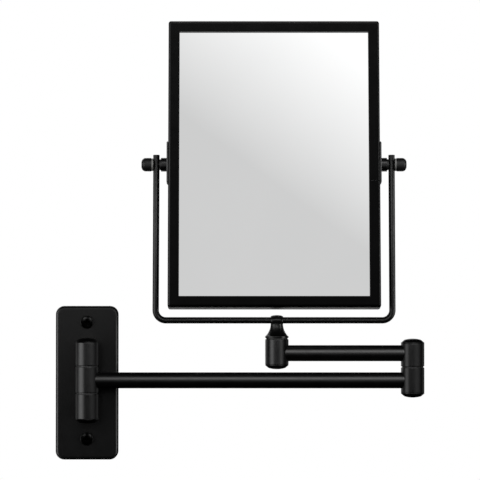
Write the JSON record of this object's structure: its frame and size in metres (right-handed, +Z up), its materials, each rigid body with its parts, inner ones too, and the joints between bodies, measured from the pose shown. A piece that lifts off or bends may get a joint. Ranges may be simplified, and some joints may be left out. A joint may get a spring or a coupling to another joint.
{
  "type": "extendable shaving mirror",
  "caption": "Wall mirror on a folding double arm: a rectangular two-sided mirror tilts in a U-shaped yoke that swivels on the arm's end.",
  "frame": {"origin": "on the wall, straight behind the wall hinge and at mid-height of the wall plate", "axes": "+Z up, +Y into the wall, -Y towards the viewer, +X along the folded arms"},
  "size_m": [0.277, 0.0632, 0.3303],
  "materials": {
    "black_paint": "satin black powder coat",
    "black_screw": "black oxide",
    "hardware_steel": "zinc plated",
    "black_plastic": "matte",
    "nylon": "natural grey",
    "silvered_glass": "polished, silvered",
    "foam": "foam"
  },
  "bodies": {
    "wall_base": {"wall_plate": "black_paint", "wall_bracket": "black_paint", "bracket_screw_upper": "hardware_steel", "bracket_screw_lower": "hardware_steel", "wall_screw_top": "black_screw", "wall_screw_bottom": "black_screw", "wall_axle": "hardware_steel", "wall_spring_washer": "hardware_steel", "wall_axle_nut": "hardware_steel", "wall_washer_upper": "black_plastic", "wall_washer_lower": "black_plastic", "wall_cap_top": "black_paint", "wall_cap_bottom": "black_paint"},
    "long_arm": {"wall_hub": "black_paint", "lower_tube": "black_paint", "elbow_lower_knuckle": "black_paint", "elbow_cap_bottom": "black_paint", "elbow_washer": "black_plastic"},
    "short_arm": {"elbow_upper_knuckle": "black_paint", "elbow_axle": "hardware_steel", "elbow_spring_washer": "hardware_steel", "elbow_nut": "hardware_steel", "elbow_cap_top": "black_paint", "upper_tube": "black_paint", "swivel_knuckle": "black_paint", "swivel_cap": "black_paint"},
    "yoke": {"swivel_stem": "black_paint", "swivel_spindle": "hardware_steel", "swivel_washer": "black_plastic", "swivel_spring_washer": "hardware_steel", "swivel_nut": "hardware_steel", "yoke_rod": "black_paint", "outer_washer_left": "nylon", "outer_washer_right": "nylon"},
    "mirror_head": {"mirror_frame": "black_paint", "front_glass": "silvered_glass", "rear_glass": "silvered_glass", "glass_spacer": "foam", "pivot_bracket_left": "black_paint", "pivot_bracket_right": "black_paint", "pivot_stud_left": "black_screw", "pivot_stud_right": "black_screw", "inner_washer_left": "black_plastic", "inner_washer_right": "black_plastic"},
    "left_knob": {"knob_left": "black_paint"},
    "right_knob": {"knob_right": "black_paint"}
  },
  "joints": [
    {"name": "wall_hinge", "type": "hinge", "parent": "wall_base", "child": "long_arm", "pos_m": [0, -0.02, 0.0022], "axis": [0, 0, 1], "range_deg": [-180, 0]},
    {"name": "elbow_hinge", "type": "hinge", "parent": "long_arm", "child": "short_arm", "pos_m": [0.2439, -0.02, 0.012], "axis": [0, 0, 1], "continuous": true},
    {"name": "head_swivel", "type": "hinge", "parent": "short_arm", "child": "yoke", "pos_m": [0.1422, -0.02, 0.0334], "axis": [0, 0, 1], "continuous": true},
    {"name": "mirror_tilt", "type": "hinge", "parent": "yoke", "child": "mirror_head", "pos_m": [0.1401, -0.02, 0.1638], "axis": [1, 0, 0], "continuous": true},
    {"name": "left_knob_turn", "type": "hinge", "parent": "mirror_head", "child": "left_knob", "pos_m": [0.0443, -0.02, 0.1638], "axis": [1, 0, 0], "continuous": true},
    {"name": "right_knob_turn", "type": "hinge", "parent": "mirror_head", "child": "right_knob", "pos_m": [0.2359, -0.02, 0.1638], "axis": [1, 0, 0], "continuous": true}
  ]
}
